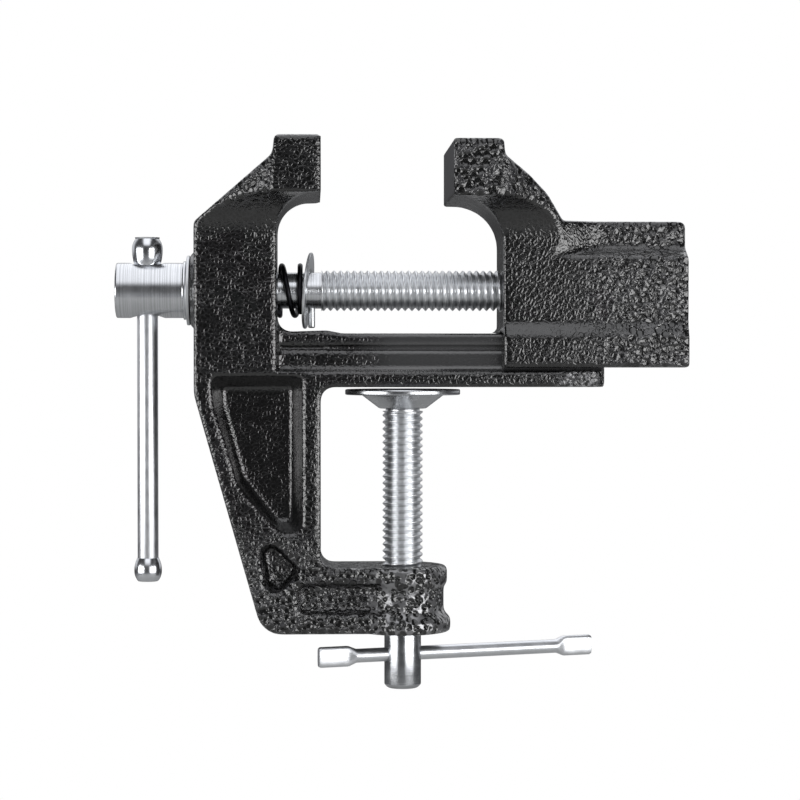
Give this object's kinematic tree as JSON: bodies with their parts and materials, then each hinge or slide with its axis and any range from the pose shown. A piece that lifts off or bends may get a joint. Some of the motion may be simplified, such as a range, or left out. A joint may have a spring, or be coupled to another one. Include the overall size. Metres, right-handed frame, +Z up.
{
  "type": "bench vise",
  "caption": "Small clamp-on bench vise with two facing jaws over a slide rail, a lead screw with tommy bar and a screw clamp for the bench edge.",
  "frame": {"origin": "where the clamp screw's axis meets the underside of the slide rail, the face that sits on the bench", "axes": "+X along the lead screw from the handle towards the moving jaw, +Z up, -Y towards the viewer of the picture; the vise is symmetric about the plane y = 0 but for its bars"},
  "size_m": [0.1323, 0.04, 0.1275],
  "materials": {
    "enamel_fixed": "black hammertone enamel",
    "enamel_moving": "black hammertone enamel",
    "plated_screw": "bright plated, rolled thread",
    "plated_washer": "bright plated",
    "plated_pad": "bright plated, pressed",
    "bright_bar": "chrome plated",
    "spring_steel": "blackened"
  },
  "bodies": {
    "frame": {"fixed_frame": "enamel_fixed"},
    "jaw": {"moving_jaw": "enamel_moving"},
    "screw": {"lead_screw": "plated_screw", "thrust_washer": "plated_washer", "take_up_spring": "spring_steel", "spring_washer": "plated_washer", "retaining_pin": "plated_washer"},
    "handle": {"handle_bar": "bright_bar", "upper_knob": "bright_bar", "lower_knob": "bright_bar"},
    "pad": {"clamp_pad": "plated_pad"},
    "clamp": {"clamp_screw": "plated_screw"},
    "bar": {"clamp_bar": "bright_bar"}
  },
  "joints": [
    {"name": "lead_screw_turn", "type": "hinge", "parent": "frame", "child": "screw", "pos_m": [0, 0, 0.0224], "axis": [1, 0, 0], "range_deg": [-2267, 6791]},
    {"name": "jaw_slide", "type": "slide", "parent": "frame", "child": "jaw", "axis": [1, 0, 0], "range_m": [-0.02996, 0.01001]},
    {"name": "lead_bar_slide", "type": "slide", "parent": "screw", "child": "handle", "axis": [0, 0, 1], "range_m": [0, 0.057]},
    {"name": "clamp_travel", "type": "slide", "parent": "frame", "child": "pad", "axis": [0, 0, 1], "range_m": [-0.03652, 0.00056]},
    {"name": "clamp_screw_turn", "type": "hinge", "parent": "pad", "child": "clamp", "pos_m": [0, 0, -0.03], "axis": [0, 0, 1], "range_deg": [-8277, 124]},
    {"name": "clamp_bar_slide", "type": "slide", "parent": "clamp", "child": "bar", "axis": [0.9532, 0.3024, 0], "range_m": [-0.0342, 0.0068]}
  ],
  "couplings": [
    {"joint": "jaw_slide", "follows": "lead_screw_turn", "m_per_rad": -0.00025266},
    {"joint": "clamp_travel", "follows": "clamp_screw_turn", "m_per_rad": 0.00025266}
  ]
}
